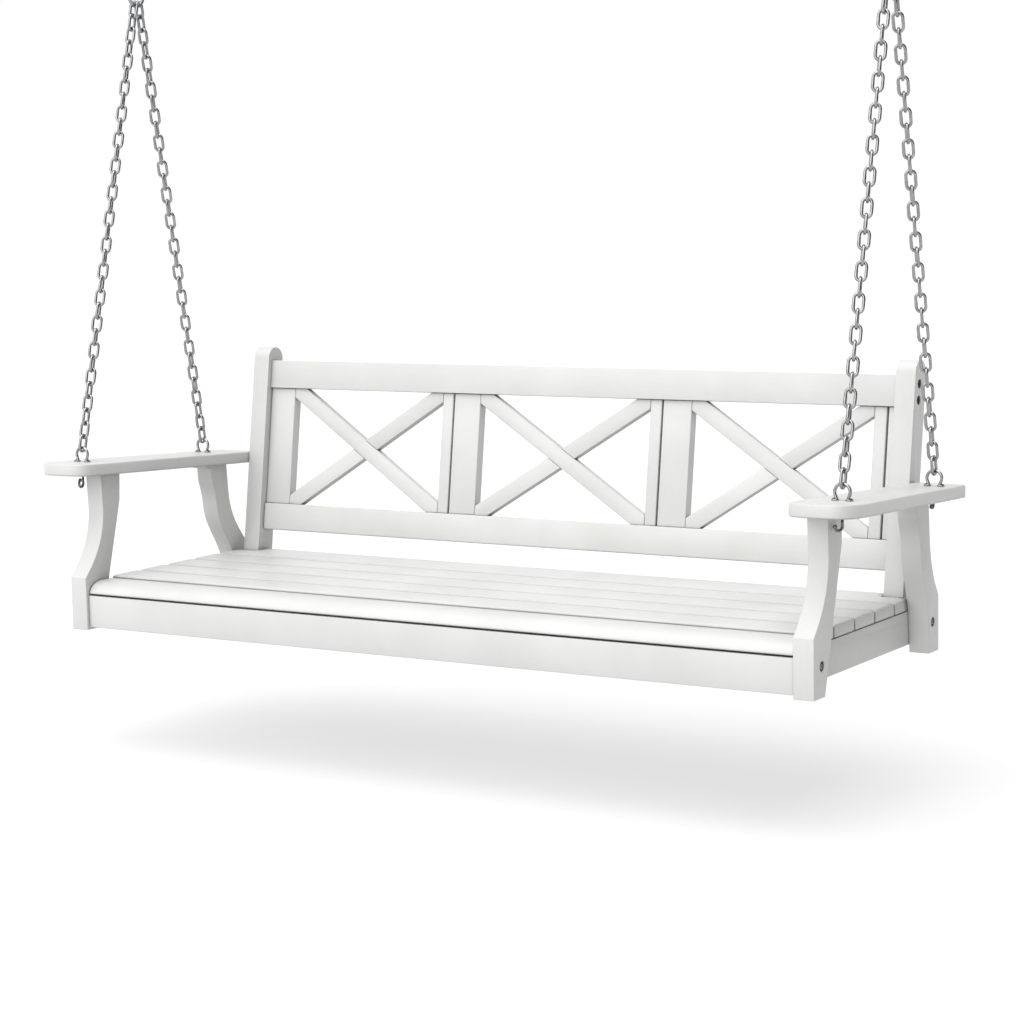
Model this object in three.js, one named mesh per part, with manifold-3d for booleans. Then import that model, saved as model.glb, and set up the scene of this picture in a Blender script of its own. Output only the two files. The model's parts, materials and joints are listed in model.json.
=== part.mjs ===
// A three-seat porch swing: a slatted bench with an X-braced back, hung at both ends by a pair of chains.
// Millimetres, +Z up, +X along the seat, +Y to the back. Left and right are as seen from the front.
// The origin lies in the ceiling plane, midway between the two hangers.
import * as THREE from "three";
import { mergeVertices } from "three/addons/utils/BufferGeometryUtils.js";
import Module from "manifold-3d";

const wasm = await Module();
wasm.setup();

// ---- Driving dimensions. The bench is drawn in its own frame: z = 0 under the feet, y = 0 at their front.
const ARM_SPAN = 1520; // over the outer faces of the arm posts
const POST_STOCK = 36; // thickness of the arm posts, along X
const DEPTH = 490; // front feet to rear feet, over all
const GAP = 0.3; // left between pieces that touch
const ARM_UNDERSIDE = 287; // height of the armrest's underside at y = 0
const ARM_DROP = 0.048; // how much the armrest falls per millimetre towards the back
const ARM_THICK = 22;
const RECLINE = Math.atan(0.146); // lean of the backrest
const BACK_FOOT_Y = 441; // front face of the back posts at z = 0
const PIVOT_Y = 266; // the hanging axis, in the bench's frame, a little in front of its centre of mass
const PIVOT_DROP = 30; // the hanging axis below the ceiling
const HANG_X = 774; // the chains' plane, either side of the middle

const FOOT_WIDTH = 41; // arm post at the floor end, along Y
const TONGUE = [14, 6]; // cleat at the top of the rear arm posts: length and thickness
const REAR_POST_LEAN = { left: 64, right: 42 }; // rear arm posts: from the foot forwards to the top
const KNEE_Z = 97; // where the arm post's outer edge leaves the upright
const INNER_X = ARM_SPAN / 2 - POST_STOCK; // inner faces of the arm posts

const BOARD = 22; // thickness of the seat frame's boards
const FRONT_BOARD = 34; // the front apron is thicker, because it spans the whole seat
const REAR_BOARD = 18;
const APRON_BOTTOM = 5;
const APRON_TOP = 64;
const SIDE_APRON_TOP = 71;
const SIDE_RAISE = 8; // side and rear aprons above the front apron's lower edge
const APRON_SETBACK = 6; // front apron behind the front feet
const SLAT_THICK = 22;
const SLAT_TOP = SIDE_APRON_TOP + GAP + SLAT_THICK;
const SLAT_COUNT = 5;
const SLAT_PITCH = 79.5;
const SLAT_GAP = 2.5;
const SLATS_FROM = 73;
const SLATS_TO = 488; // the last slat is wider, and notched round the back posts
const NOSE_BACK = SLATS_FROM - SLAT_GAP;
const SUPPORT_X = 235; // the two bearers under the seat, either side of the middle

const BACK_POST = 36; // back post, across X
const BACK_POST_DEEP = 45;
const BACK_POST_INNER = 674;
const BACK_POST_TOP = 500; // along the post
const RAIL_RECESS = 11; // rails behind the back posts' front faces
const RAIL_DEEP = 26;
const TOP_RAIL = [419, 473]; // lower and upper edge, along the post
const LOW_RAIL = [136.5, 189];
const PANEL_RECESS = 16;
const STILE_DEEP = 21;
const BRACE_DEEP = 16;
const WIDE_STILE = 58;
const NARROW_STILE = 23;
const BAY_OPENINGS = [353, 368, 357]; // the bays differ a little in width
const BAY_JOINT = 3.5; // the dark joint between one bay and the next
const BRACE = 30; // width of an X brace

const WIRE = 5.5; // chain wire
const LINK_COUNT = 34; // links in each chain
const LINK_WIDTH = 21; // over the wire
const LINK_WELD = 0.2; // how far neighbouring links bite, so that a chain is one solid
const RING_WIRE = 7;
const RING_SIZE = [46, 76]; // over all, along Y and Z
const HOOK_WIRE = 8;
const HOOK_RADIUS = 15; // to the middle of the wire
const PLATE = [84, 40, 5]; // ceiling plate
const PLATE_HOLE = 6;
const BOW_WIRE = 5.5;
const BOW_SIZE = [32, 30]; // over all, along X and up from the armrest
const BOW_NECK = 10; // half the distance between its legs, where they meet the feet
const BOW_FOOT = [12, 11, 2.5];
const BOW_RUN_GAP = 1.8; // clearance between a bow and its chain
const BOW_Y = { left: [61, 416], right: [77, 439] }; // front and rear chain anchors, in the bench's frame
const CHAIN_TOP_Z = 1160; // where the top links bear on the hanging ring
const CHAIN_APART = 11; // between the two top links, along Y
const RUN_GAP = 0.9; // clearance where chain, ring and hook bear on each other

const BOLT = 8;
const BOLT_HEAD = [16, 4]; // diameter, thickness
const BOLT_BORE = [17, 5]; // diameter and depth of the counterbore
const POST_BOLT_FRONT = [30, 50]; // y and z
const POST_BOLT_REAR = [466, 52];
const RAIL_BOLTS = [431, 459]; // heights along the back post
const RAIL_BOLT_DEPTH = 20; // behind the back post's front face
const RAIL_BOLT_GRIP = 30; // how far the bolt runs into the rail's end
const ROUND = 12; // flats round a bolt
const POST_CURVE = 12; // facets along each sweep of an arm post

const UNDER_HOOK_WIRE = 5;
const UNDER_HOOK_STEM = 17;
const UNDER_HOOK_RADIUS = 7;
const UNDER_HOOK_TURN = { left: -81, right: -119 }; // which way the hooks curl, in degrees from +X
const UNDER_HOOK_BEND = { left: 245, right: 180 }; // how far they curl; the left one is nearly shut
const PEG_WIRE = 5.5;
const PEG_END = [8.5, 7]; // diameter and length of its thick end
const PEG_TIP = [-9, -10]; // middle of the thick end: forwards and down

// ---- Materials
const PAINT = new THREE.MeshStandardMaterial({ color: 0xe9e9e6, roughness: 0.45, metalness: 0 });
const ZINC = new THREE.MeshStandardMaterial({ color: 0x9a9c9f, roughness: 0.35, metalness: 0.9 });
const DARK = new THREE.MeshStandardMaterial({ color: 0x4d4f52, roughness: 0.4, metalness: 0.9 });

// ---- Shape helpers
const v3 = (x, y, z) => new THREE.Vector3(x, y, z);

// A closed geometry as a manifold-3d solid.
function solid(geometry) {
  const bare = geometry.index ? geometry.toNonIndexed() : geometry.clone();
  bare.deleteAttribute("normal");
  bare.deleteAttribute("uv");
  const merged = mergeVertices(bare, 1e-3);
  return new wasm.Manifold(
    new wasm.Mesh({
      numProp: 3,
      vertProperties: merged.attributes.position.array,
      triVerts: new Uint32Array(merged.index.array),
    }),
  );
}

// A manifold-3d solid as a geometry.
function geometryOf(made) {
  const mesh = made.getMesh();
  const geometry = new THREE.BufferGeometry();
  geometry.setAttribute("position", new THREE.BufferAttribute(mesh.vertProperties, 3));
  geometry.setIndex(new THREE.BufferAttribute(mesh.triVerts, 1));
  geometry.computeVertexNormals();
  return geometry;
}

// A box between two corners.
function block(low, high) {
  const size = v3(high[0] - low[0], high[1] - low[1], high[2] - low[2]);
  const box = new THREE.BoxGeometry(size.x, size.y, size.z);
  box.translate((low[0] + high[0]) / 2, (low[1] + high[1]) / 2, (low[2] + high[2]) / 2);
  return box;
}

// An outline in (y, z), extruded along +X from x to x + thick.
function sideways(shape, x, thick, curveSegments = 6) {
  const body = new THREE.ExtrudeGeometry(shape, { depth: thick, bevelEnabled: false, curveSegments });
  body.rotateY(Math.PI / 2);
  body.rotateX(Math.PI / 2);
  body.translate(x, 0, 0);
  return body;
}

// An outline in (x, y), extruded upwards from z = 0.
function upwards(shape, thick, curveSegments = 6) {
  return new THREE.ExtrudeGeometry(shape, { depth: thick, bevelEnabled: false, curveSegments });
}

// A round bar along a curve, closed at its ends.
function wire(curve, diameter, steps, sides) {
  const section = new THREE.Shape();
  section.absarc(0, 0, diameter / 2, 0, 2 * Math.PI);
  return new THREE.ExtrudeGeometry(section, {
    extrudePath: curve,
    steps,
    bevelEnabled: false,
    curveSegments: sides / 2,
  });
}

// Distance from a wire's middle to its flats, so that a wire with few sides keeps the area of a round one.
function wireFlat(diameter, sides) {
  return (diameter / 2) * Math.sqrt(Math.PI / sides / Math.tan(Math.PI / sides));
}

// A closed ring of wire with straight sides and round ends, in the XZ plane, its middle at the origin.
// corners points lie on each round end, and sides is the number of flats round the wire.
function oval(width, height, diameter, corners, sides) {
  const flat = wireFlat(diameter, sides);
  const round = (width - diameter) / 2;
  const reach = (height - diameter) / 2 - round;
  const middles = [];
  for (const end of [1, -1]) {
    for (let i = 0; i < corners; i++) {
      const a = (Math.PI * (i + 0.5)) / corners;
      const grow = round / Math.cos(Math.PI / corners / 2);
      middles.push(v3(grow * Math.cos(a) * end, 0, (reach + grow * Math.sin(a)) * end));
    }
  }
  const count = middles.length;
  const position = [];
  const index = [];
  middles.forEach((p, i) => {
    const into = p.clone().sub(middles[(i + count - 1) % count]).normalize();
    const away = middles[(i + 1) % count].clone().sub(p).normalize();
    const out = v3(-into.z - away.z, 0, into.x + away.x).normalize().negate();
    const mitre = 1 / Math.cos(into.angleTo(away) / 2);
    const spoke = flat / Math.cos(Math.PI / sides);
    for (let s = 0; s < sides; s++) {
      const a = (2 * Math.PI * (s + 0.5)) / sides;
      const q = p.clone().addScaledVector(out, spoke * mitre * Math.cos(a));
      position.push(q.x, q.y + spoke * Math.sin(a), q.z);
    }
  });
  for (let i = 0; i < count; i++) {
    for (let s = 0; s < sides; s++) {
      const a = i * sides + s;
      const b = i * sides + ((s + 1) % sides);
      const c = ((i + 1) % count) * sides + s;
      const d = ((i + 1) % count) * sides + ((s + 1) % sides);
      index.push(a, b, c, b, d, c);
    }
  }
  const ring = new THREE.BufferGeometry();
  ring.setAttribute("position", new THREE.Float32BufferAttribute(position, 3));
  ring.setIndex(index);
  return ring;
}

// A cylinder along X from x0 to x1, in the bench's or the backrest's frame.
function rodX(x0, x1, y, z, diameter) {
  const rod = new THREE.CylinderGeometry(diameter / 2, diameter / 2, Math.abs(x1 - x0), ROUND);
  rod.rotateZ(Math.PI / 2);
  rod.translate((x0 + x1) / 2, y, z);
  return rod;
}

// The hole that a bolt along X needs through a stack of boards, with the counterbore in the face at x.
function boltHole(x, side, y, z, length) {
  const shank = solid(rodX(x + side, x - side * (length + 1), y, z, BOLT + 2 * GAP));
  return shank.add(solid(rodX(x + side, x - side * BOLT_BORE[1], y, z, BOLT_BORE[0])));
}

function piece(name, geometry, material) {
  const mesh = new THREE.Mesh(geometry, material);
  mesh.name = name;
  return mesh;
}

const SIDES = [
  ["left", -1],
  ["right", 1],
];

// Height of the armrest's underside at y, in the bench's frame.
const armHeight = (y) => ARM_UNDERSIDE - ARM_DROP * y;

// Upper face of the armrest at y.
const ARM_TILT = Math.atan(ARM_DROP);
const armTop = (y) => armHeight(y) + ARM_THICK / Math.cos(ARM_TILT);

// ---- How the chains hang, from the bows on the armrests up to the ceiling
const ringInner = RING_SIZE[0] / 2 - RING_WIRE; // radius inside the ring's bends
const ringRise = ringInner - Math.sqrt(ringInner ** 2 - ((CHAIN_APART + WIRE) / 2) ** 2);
const ringBottom = CHAIN_TOP_Z - RUN_GAP - ringRise - RING_WIRE / 2; // middle of the ring's lower bend
const ringTopInside = ringBottom + RING_SIZE[1] - 1.5 * RING_WIRE;
const hookZ = ringTopInside - RUN_GAP - HOOK_WIRE / 2; // middle of the hook's bend
const ceilingZ = hookZ + PIVOT_DROP + PLATE[2];
const chainTopY = (rear) => PIVOT_Y + (rear ? CHAIN_APART / 2 : -CHAIN_APART / 2);

// Where a chain bears, under the crown of the bow that stands square on the sloping armrest at y.
function bearing(x, y) {
  const rise = BOW_SIZE[1] - BOW_WIRE - BOW_RUN_GAP;
  const square = v3(0, Math.sin(ARM_TILT), Math.cos(ARM_TILT));
  return v3(x, y, armTop(y) + GAP).addScaledVector(square, rise);
}

const swing = new THREE.Group();
const bench = new THREE.Group();
bench.position.set(0, -PIVOT_Y, -ceilingZ);
swing.add(bench);

// ---- Arms
// The outline of a front arm post in (y, z): an upright foot, then a sweep back to the armrest.
function frontPostOutline() {
  const outline = new THREE.Shape();
  outline.moveTo(0, 0);
  outline.lineTo(0, KNEE_Z);
  outline.bezierCurveTo(24, 122, 54, 158, 56, 214);
  outline.lineTo(53, armHeight(53) - GAP);
  outline.lineTo(107, armHeight(107) - GAP);
  outline.lineTo(104, 232);
  outline.lineTo(FOOT_WIDTH, 0);
  return outline;
}

// A rear arm post leans forwards, with a sweep on both edges and a cleat under the armrest.
// Its outline is drawn forwards from the rear foot, then turned about. lean is that of its upper part.
function rearPostOutline(lean) {
  const top = (y) => armHeight(DEPTH - y) - GAP;
  const [reach, thick] = TONGUE;
  const outline = new THREE.Shape();
  outline.moveTo(0, 0);
  outline.lineTo(0, KNEE_Z);
  const inner = lean + 48;
  const tip = inner + reach;
  outline.bezierCurveTo(20, 122, lean - 7, 156, lean - 4, 214);
  outline.lineTo(lean, top(lean));
  outline.lineTo(tip, top(tip));
  outline.lineTo(tip, top(tip) - thick);
  outline.lineTo(inner, top(inner) - thick);
  outline.lineTo(inner - 1, 238);
  outline.bezierCurveTo(inner - 6, 222, inner - 11, 212, inner - 14, 184);
  outline.bezierCurveTo(inner - 19, 138, 54, 112, 46, 66);
  outline.lineTo(FOOT_WIDTH, 0);
  const points = outline.getPoints(POST_CURVE).map((p) => new THREE.Vector2(DEPTH - p.x, p.y));
  return new THREE.Shape(points);
}

function armPost(name, side, outline, [y, z]) {
  const x = side < 0 ? -ARM_SPAN / 2 : INNER_X;
  const board = solid(sideways(outline, x, POST_STOCK, POST_CURVE));
  const hole = boltHole((side * ARM_SPAN) / 2, side, y, z, POST_STOCK);
  return piece(name, geometryOf(board.subtract(hole)), PAINT);
}

// The armrest's plan, for the right arm: wide and blunt in front, narrower behind.
const ARM_INNER = BACK_POST_INNER + BACK_POST + GAP + 1;
const ARM_FRONT_Y = -14;
const ARM_REAR_Y = 508;
const ARM_REAR_ROUND = 16;
const ARM_FRONT_OUTER = 828;
const ARM_REAR_OUTER = 806;

function armrest(name, side) {
  const plan = new THREE.Shape();
  plan.moveTo(ARM_INNER, 26);
  plan.quadraticCurveTo(ARM_INNER, ARM_FRONT_Y + 4, 752, ARM_FRONT_Y);
  plan.lineTo(790, ARM_FRONT_Y);
  plan.quadraticCurveTo(ARM_FRONT_OUTER - 3, ARM_FRONT_Y + 6, ARM_FRONT_OUTER, 40);
  plan.lineTo(ARM_REAR_OUTER, ARM_REAR_Y - ARM_REAR_ROUND);
  plan.quadraticCurveTo(ARM_REAR_OUTER, ARM_REAR_Y, ARM_REAR_OUTER - ARM_REAR_ROUND, ARM_REAR_Y);
  plan.lineTo(ARM_INNER + 4, ARM_REAR_Y);
  plan.lineTo(ARM_INNER, ARM_REAR_Y - 4);
  let body = solid(upwards(plan, ARM_THICK, 9));
  if (side < 0) body = body.mirror([1, 0, 0]);
  const mesh = piece(name, geometryOf(body), PAINT);
  mesh.position.set(0, 0, ARM_UNDERSIDE);
  mesh.rotation.x = -ARM_TILT;
  return mesh;
}

for (const [word, side] of SIDES) {
  bench.add(armPost("arm_post_front_" + word, side, frontPostOutline(), POST_BOLT_FRONT));
  bench.add(armPost("arm_post_rear_" + word, side, rearPostOutline(REAR_POST_LEAN[word]), POST_BOLT_REAR));
  bench.add(armrest("armrest_" + word, side));
}

// ---- Seat frame
const APRON_INNER = INNER_X - BOARD; // inner faces of the side aprons
const NOSE_BOTTOM = APRON_TOP + 3;

// The outline in (y, z) of a board under the slats, stepped down in front for the nose slat.
function steppedOutline(front, back, bottom) {
  const outline = new THREE.Shape();
  outline.moveTo(front, bottom);
  outline.lineTo(front, NOSE_BOTTOM - GAP);
  outline.lineTo(NOSE_BACK + 2, NOSE_BOTTOM - GAP);
  outline.lineTo(NOSE_BACK + 2, SIDE_APRON_TOP);
  outline.lineTo(back, SIDE_APRON_TOP);
  outline.lineTo(back, bottom);
  return outline;
}

// A bore for the bolt at (y, z) that runs inwards from an arm post.
function postBore(side, [y, z]) {
  const reach = side * (INNER_X + 2);
  return solid(rodX(reach, reach - side * (BOARD + 4), y, z, BOLT + 2 * GAP));
}

// The front apron reaches from arm post to arm post. The side aprons start behind it.
const slatX = INNER_X - GAP;
const apronBack = APRON_SETBACK + FRONT_BOARD;
let frontApron = solid(block([-slatX, APRON_SETBACK, APRON_BOTTOM], [slatX, apronBack, APRON_TOP]));
for (const [, side] of SIDES) frontApron = frontApron.subtract(postBore(side, POST_BOLT_FRONT));
bench.add(piece("front_apron", geometryOf(frontApron), PAINT));

for (const [word, side] of SIDES) {
  const outline = steppedOutline(apronBack + GAP, DEPTH - SIDE_RAISE, APRON_BOTTOM + SIDE_RAISE);
  const board = solid(sideways(outline, side < 0 ? -slatX : APRON_INNER, slatX - APRON_INNER));
  const bored = geometryOf(board.subtract(postBore(side, POST_BOLT_REAR)));
  bench.add(piece("side_apron_" + word, bored, PAINT));
}

const crossX = APRON_INNER - GAP;
const rearApronY = BACK_FOOT_Y - 3 - REAR_BOARD;
const rearLow = [-crossX, rearApronY, APRON_BOTTOM + 2 * SIDE_RAISE];
const rearHigh = [crossX, rearApronY + REAR_BOARD, SIDE_APRON_TOP];
bench.add(piece("rear_apron", block(rearLow, rearHigh), PAINT));
for (const [word, side] of SIDES) {
  const outline = steppedOutline(apronBack + GAP, rearApronY - GAP, APRON_BOTTOM + 2 * SIDE_RAISE);
  const bearer = sideways(outline, side * SUPPORT_X - BOARD / 2, BOARD);
  bench.add(piece("seat_bearer_" + word, bearer, PAINT));
}

// ---- Seat slats
for (let i = 0; i < SLAT_COUNT - 1; i++) {
  const y = SLATS_FROM + i * SLAT_PITCH;
  const low = [-slatX, y, SLAT_TOP - SLAT_THICK];
  const high = [slatX, y + SLAT_PITCH - SLAT_GAP, SLAT_TOP];
  bench.add(piece("seat_slat_" + (i + 1), block(low, high), PAINT));
}
const lastLow = [-slatX, SLATS_FROM + (SLAT_COUNT - 1) * SLAT_PITCH, SLAT_TOP - SLAT_THICK];
let lastSlat = solid(block(lastLow, [slatX, SLATS_TO, SLAT_TOP]));
const notchY = BACK_FOOT_Y + (SLAT_TOP - SLAT_THICK) * Math.tan(RECLINE) - GAP;
for (const [, side] of SIDES) {
  const [from, to] = side < 0 ? [-slatX - 1, GAP - BACK_POST_INNER] : [BACK_POST_INNER - GAP, slatX + 1];
  lastSlat = lastSlat.subtract(solid(block([from, notchY, 0], [to, SLATS_TO + 1, SLAT_TOP + 1])));
}
bench.add(piece("seat_slat_" + SLAT_COUNT, geometryOf(lastSlat), PAINT));

// The nose slat rolls over the front apron.
function noseSlat() {
  const outline = new THREE.Shape();
  outline.moveTo(APRON_SETBACK, NOSE_BOTTOM);
  outline.lineTo(NOSE_BACK, NOSE_BOTTOM);
  outline.lineTo(NOSE_BACK, SLAT_TOP - 4);
  outline.lineTo(40, SLAT_TOP - 4);
  outline.quadraticCurveTo(12, SLAT_TOP - 5, APRON_SETBACK, NOSE_BOTTOM);
  return sideways(outline, -slatX, 2 * slatX, 6);
}
bench.add(piece("nose_slat", noseSlat(), PAINT));

// ---- Backrest
const back = new THREE.Group();
back.position.set(0, BACK_FOOT_Y, 0);
back.rotation.x = -RECLINE;
bench.add(back);

function backPost(side) {
  const outline = new THREE.Shape();
  const round = BACK_POST_DEEP / 2;
  outline.moveTo(0, 15);
  outline.lineTo(0, BACK_POST_TOP - round);
  outline.absarc(round, BACK_POST_TOP - round, round, Math.PI, 0, true);
  outline.lineTo(BACK_POST_DEEP, 15);
  const x = side < 0 ? -BACK_POST_INNER - BACK_POST : BACK_POST_INNER;
  const post = solid(sideways(outline, x, BACK_POST, 10));
  const lap = [APRON_INNER - GAP, BACK_POST_INNER + BACK_POST + 1];
  const cutX = side < 0 ? [-lap[1], -lap[0]] : lap;
  const cut = solid(block([cutX[0], -1, 0], [cutX[1], BACK_POST_DEEP + 1, SLAT_TOP]));
  let body = post.subtract(cut);
  const face = side * (BACK_POST_INNER + BACK_POST);
  for (const height of RAIL_BOLTS) {
    body = body.subtract(boltHole(face, side, RAIL_BOLT_DEPTH, height, BACK_POST));
  }
  return geometryOf(body);
}
for (const [word, side] of SIDES) back.add(piece("back_post_" + word, backPost(side), PAINT));

const railX = BACK_POST_INNER - GAP;
const rail = (name, [low, high]) =>
  piece(name, block([-railX, RAIL_RECESS, low], [railX, RAIL_RECESS + RAIL_DEEP, high]), PAINT);
let topRail = solid(rail("top_rail", TOP_RAIL).geometry);
for (const [, side] of SIDES) {
  for (const height of RAIL_BOLTS) {
    const reach = side * (railX + 2);
    const hole = rodX(reach, reach - side * (RAIL_BOLT_GRIP + 4), RAIL_BOLT_DEPTH, height, BOLT + 2 * GAP);
    topRail = topRail.subtract(solid(hole));
  }
}
back.add(piece("top_rail", geometryOf(topRail), PAINT));
back.add(rail("lower_rail", LOW_RAIL));

const panelLow = LOW_RAIL[1] + GAP;
const panelHigh = TOP_RAIL[0] - GAP;
const braceY = [PANEL_RECESS, PANEL_RECESS + BRACE_DEEP];
const stile = (name, x, wide) =>
  piece(name, block([x, PANEL_RECESS, panelLow], [x + wide, PANEL_RECESS + STILE_DEEP, panelHigh]), PAINT);

// One straight bar from corner to corner of a bay, cut square to the stiles and rails.
// It is halved at the middle: a falling brace keeps its front half there, and a rising one its rear half.
function brace(x, opens, rising) {
  const wide = opens - 2 * GAP;
  const tall = panelHigh - panelLow;
  const lean = Math.atan2(tall, wide) * (rising ? 1 : -1);
  const length = 2 * Math.hypot(wide, tall);
  const half = (braceY[0] + braceY[1]) / 2;
  const bar = (width, y0, y1, angle) => {
    const body = block([-length / 2, y0, -width / 2], [length / 2, y1, width / 2]);
    body.rotateY(-angle);
    body.translate(x + GAP + wide / 2, 0, (panelLow + panelHigh) / 2);
    return solid(body);
  };
  const low = [x + GAP, braceY[0] - 1, panelLow];
  const opening = solid(block(low, [low[0] + wide, braceY[1] + 1, panelHigh]));
  const notch = rising ? [braceY[0] - 1, half + GAP / 2] : [half - GAP / 2, braceY[1] + 1];
  const other = bar(BRACE + 2 * GAP, ...notch, -lean);
  return geometryOf(bar(BRACE, ...braceY, lean).intersect(opening).subtract(other));
}

let stripX = -railX;
BAY_OPENINGS.forEach((opens, bay) => {
  const opening = stripX + WIDE_STILE;
  back.add(stile("wide_stile_" + (bay + 1), stripX, WIDE_STILE));
  back.add(stile("narrow_stile_" + (bay + 1), opening + opens, NARROW_STILE));
  back.add(piece("brace_falling_" + (bay + 1), brace(opening, opens, false), PAINT));
  back.add(piece("brace_rising_" + (bay + 1), brace(opening, opens, true), PAINT));
  stripX = opening + opens + NARROW_STILE + BAY_JOINT;
});
back.add(stile("end_strip", stripX, railX - stripX));

// ---- Ceiling hooks and hanging rings
// A plate with two screw holes and a J-shaped hook welded under it. z = 0 at the middle of the hook's bend.
function ceilingHook(x) {
  const r = HOOK_RADIUS;
  const points = [v3(r, 0, PIVOT_DROP + 2), v3(r, 0, (PIVOT_DROP + r) / 2)];
  const bends = 8;
  for (let i = 0; i <= bends; i++) {
    const a = (-Math.PI * 1.06 * i) / bends;
    points.push(v3(r * Math.cos(a), 0, r + r * Math.sin(a)));
  }
  const stem = solid(wire(new THREE.CatmullRomCurve3(points), HOOK_WIRE, 16, 8));
  const low = [-PLATE[0] / 2, -PLATE[1] / 2, PIVOT_DROP];
  const high = [PLATE[0] / 2, PLATE[1] / 2, PIVOT_DROP + PLATE[2]];
  let body = stem.add(solid(block(low, high)));
  for (const end of [-1, 1]) {
    const hole = new THREE.CylinderGeometry(PLATE_HOLE / 2, PLATE_HOLE / 2, 4 * PLATE[2], ROUND);
    hole.rotateX(Math.PI / 2);
    hole.translate(end * (PLATE[0] / 2 - 10), 0, PIVOT_DROP);
    body = body.subtract(solid(hole));
  }
  return geometryOf(body).translate(x, PIVOT_Y, hookZ);
}

function hangingRing(x) {
  const ring = oval(RING_SIZE[0], RING_SIZE[1], RING_WIRE, 6, 8);
  ring.rotateZ(Math.PI / 2);
  return ring.translate(x, PIVOT_Y, ringBottom + (RING_SIZE[1] - RING_WIRE) / 2);
}

// ---- Chains: straight-link chain, each link turned a quarter from the last
function chain(x, y, rear) {
  const from = bearing(x, y);
  const to = v3(x, chainTopY(rear), CHAIN_TOP_Z);
  const pitch = from.distanceTo(to) / LINK_COUNT;
  const height = pitch - LINK_WELD + WIRE + 2 * wireFlat(WIRE, 4);
  let links = null;
  for (let i = 0; i < LINK_COUNT; i++) {
    const link = oval(LINK_WIDTH, height, WIRE, 4, 4);
    if (i % 2 === 0) link.rotateZ(Math.PI / 2);
    link.translate(0, 0, (i + 0.5) * pitch);
    const made = solid(link);
    links = links ? links.add(made) : made;
  }
  const geometry = geometryOf(links);
  geometry.rotateX(-Math.atan2(to.y - from.y, to.z - from.z));
  return geometry.translate(from.x, from.y, from.z);
}

// ---- Bows on the armrests, and the hooks and pegs under them
// An omega-shaped bow in the XZ plane, on two flat feet.
function bow(x, y) {
  const round = (BOW_SIZE[0] - BOW_WIRE) / 2;
  const middle = BOW_SIZE[1] - BOW_WIRE / 2 - round;
  const points = [v3(-BOW_NECK, 0, 1), v3(-BOW_NECK, 0, 4)];
  const bends = 8;
  const past = 0.4; // how far the bend runs on below its middle, in radians
  for (let i = 0; i <= bends; i++) {
    const a = Math.PI + past - ((Math.PI + 2 * past) * i) / bends;
    points.push(v3(round * Math.cos(a), 0, middle + round * Math.sin(a)));
  }
  points.push(v3(BOW_NECK, 0, 4), v3(BOW_NECK, 0, 1));
  let body = solid(wire(new THREE.CatmullRomCurve3(points), BOW_WIRE, 20, 6));
  const [wide, deep, thick] = BOW_FOOT;
  for (const [, end] of SIDES) {
    const foot = block([-wide / 2, -deep / 2, 0], [wide / 2, deep / 2, thick]);
    foot.translate(end * (BOW_NECK + 2), 0, 0);
    body = body.add(solid(foot));
  }
  const geometry = geometryOf(body);
  geometry.rotateX(-ARM_TILT);
  return geometry.translate(x, y, armTop(y) + GAP);
}

// A stem under the armrest that curls into a hook with a ball end.
function underHook(x, y, turn, bend) {
  const r = UNDER_HOOK_RADIUS;
  const points = [v3(0, 0, 0), v3(0, 0, -UNDER_HOOK_STEM / 2)];
  const bends = 8;
  for (let i = 0; i <= bends; i++) {
    const a = THREE.MathUtils.degToRad((bend * i) / bends);
    points.push(v3(r - r * Math.cos(a), 0, -UNDER_HOOK_STEM - r * Math.sin(a)));
  }
  const tip = points[points.length - 1];
  const ball = new THREE.SphereGeometry(UNDER_HOOK_WIRE * 0.7, 8, 6);
  ball.translate(tip.x, 0, tip.z);
  const hook = solid(wire(new THREE.CatmullRomCurve3(points), UNDER_HOOK_WIRE, 16, 6)).add(solid(ball));
  const geometry = geometryOf(hook);
  geometry.rotateZ(THREE.MathUtils.degToRad(turn));
  return geometry.translate(x, y, armHeight(y) - 2 * GAP);
}

// A short peg under the armrest, bent forwards, with a thick end.
function underPeg(x, y) {
  const [forward, down] = PEG_TIP;
  const tip = v3(0, forward, down);
  const path = [v3(0, 0, 0), v3(0, 0, down * 0.35), v3(0, forward * 0.3, down * 0.65), tip];
  const bar = solid(wire(new THREE.CatmullRomCurve3(path), PEG_WIRE, 8, 8));
  const end = new THREE.CylinderGeometry(PEG_END[0] / 2, PEG_END[0] / 2, PEG_END[1], ROUND);
  end.applyQuaternion(new THREE.Quaternion().setFromUnitVectors(v3(0, -1, 0), tip.clone().normalize()));
  end.translate(tip.x, tip.y, tip.z);
  return geometryOf(bar.add(solid(end))).translate(x, y, armHeight(y) - 3 * GAP);
}

for (const [word, side] of SIDES) {
  const x = side * HANG_X;
  const [frontY, rearY] = BOW_Y[word];
  bench.add(piece("ceiling_hook_" + word, ceilingHook(x), ZINC));
  bench.add(piece("hanging_ring_" + word, hangingRing(x), ZINC));
  bench.add(piece("chain_front_" + word, chain(x, frontY, false), ZINC));
  bench.add(piece("chain_rear_" + word, chain(x, rearY, true), ZINC));
  bench.add(piece("chain_bow_front_" + word, bow(x, frontY), ZINC));
  bench.add(piece("chain_bow_rear_" + word, bow(x, rearY), ZINC));
  const hook = underHook(x, frontY, UNDER_HOOK_TURN[word], UNDER_HOOK_BEND[word]);
  bench.add(piece("under_hook_" + word, hook, DARK));
  bench.add(piece("under_peg_" + word, underPeg(x, rearY), DARK));
}

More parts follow.
